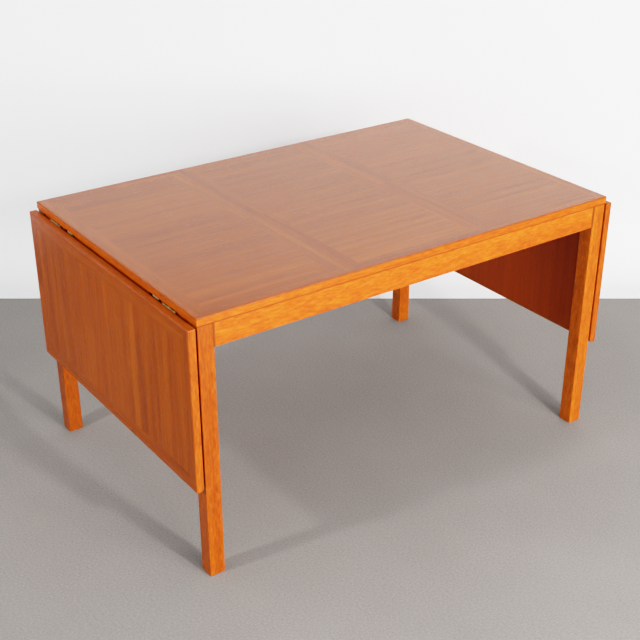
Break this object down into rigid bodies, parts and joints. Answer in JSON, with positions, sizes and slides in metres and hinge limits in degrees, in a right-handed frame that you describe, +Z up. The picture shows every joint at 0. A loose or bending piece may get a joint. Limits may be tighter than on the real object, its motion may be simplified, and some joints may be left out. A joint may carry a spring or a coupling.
{
  "type": "drop leaf table",
  "caption": "Teak dining table: cross-banded veneer top on square legs and aprons, with a drop leaf hinged at each end and pull-out bearers that carry the raised leaves.",
  "frame": {"origin": "on the floor, under the centre of the table top", "axes": "+X along the table towards the right-hand leaf, +Y across it towards the back, +Z up"},
  "size_m": [1.3466, 0.87, 0.72],
  "materials": {
    "teak_solid": "oiled solid teak, satin",
    "teak_lipping": "oiled solid teak, satin",
    "teak_veneer_field": "lacquered teak veneer, satin",
    "teak_veneer_bands": "lacquered teak veneer, satin",
    "teak_backing_veneer": "plain teak backing veneer, matt",
    "core_board": "raw chipboard",
    "beech": "bare beech, matt",
    "brass": "aged brass, satin",
    "brass_screws": "aged brass, satin",
    "steel_screws": "plain steel, satin"
  },
  "bodies": {
    "frame": {"apron_back": "teak_solid", "apron_front": "teak_solid", "apron_left": "teak_solid", "apron_right": "teak_solid", "corner_block_back_left": "beech", "corner_block_back_right": "beech", "corner_block_front_left": "beech", "corner_block_front_right": "beech", "corner_block_screws": "steel_screws", "frame_dowels": "beech", "guide_rail_left": "beech", "guide_rail_right": "beech", "hinge_pins": "brass", "hinge_screws_top": "brass_screws", "hinge_top_flap_back_left": "brass", "hinge_top_flap_back_right": "brass", "hinge_top_flap_front_left": "brass", "hinge_top_flap_front_right": "brass", "leg_back_left": "teak_solid", "leg_back_right": "teak_solid", "leg_front_left": "teak_solid", "leg_front_right": "teak_solid", "loper_back_left": "beech", "loper_back_right": "beech", "loper_front_left": "beech", "loper_front_right": "beech", "loper_stop_pins": "beech", "top_core": "core_board", "top_fixing_screws": "steel_screws", "top_lipping_back": "teak_lipping", "top_lipping_front": "teak_lipping", "top_lipping_left": "teak_lipping", "top_lipping_right": "teak_lipping", "top_underside_veneer": "teak_backing_veneer", "top_veneer_bands_left": "teak_veneer_bands", "top_veneer_bands_middle": "teak_veneer_bands", "top_veneer_bands_right": "teak_veneer_bands", "top_veneer_field_left": "teak_veneer_field", "top_veneer_field_middle": "teak_veneer_field", "top_veneer_field_right": "teak_veneer_field"},
    "left_leaf": {"hinge_leaf_flap_back_left": "brass", "hinge_leaf_flap_front_left": "brass", "hinge_screws_left_leaf": "brass_screws", "left_leaf_core": "core_board", "left_leaf_cross_lippings": "teak_lipping", "left_leaf_end_lippings": "teak_lipping", "left_leaf_inner_veneer": "teak_backing_veneer", "left_leaf_veneer_bands": "teak_veneer_bands", "left_leaf_veneer_field": "teak_veneer_field"},
    "right_leaf": {"hinge_leaf_flap_back_right": "brass", "hinge_leaf_flap_front_right": "brass", "hinge_screws_right_leaf": "brass_screws", "right_leaf_core": "core_board", "right_leaf_cross_lippings": "teak_lipping", "right_leaf_end_lippings": "teak_lipping", "right_leaf_inner_veneer": "teak_backing_veneer", "right_leaf_veneer_bands": "teak_veneer_bands", "right_leaf_veneer_field": "teak_veneer_field"}
  },
  "joints": [
    {"name": "left_leaf_hinge", "type": "hinge", "parent": "frame", "child": "left_leaf", "pos_m": [-0.65025, 0, 0.697], "axis": [0, 1, 0], "range_deg": [0, 90]},
    {"name": "right_leaf_hinge", "type": "hinge", "parent": "frame", "child": "right_leaf", "pos_m": [0.65025, 0, 0.697], "axis": [0, -1, 0], "range_deg": [0, 90]}
  ]
}
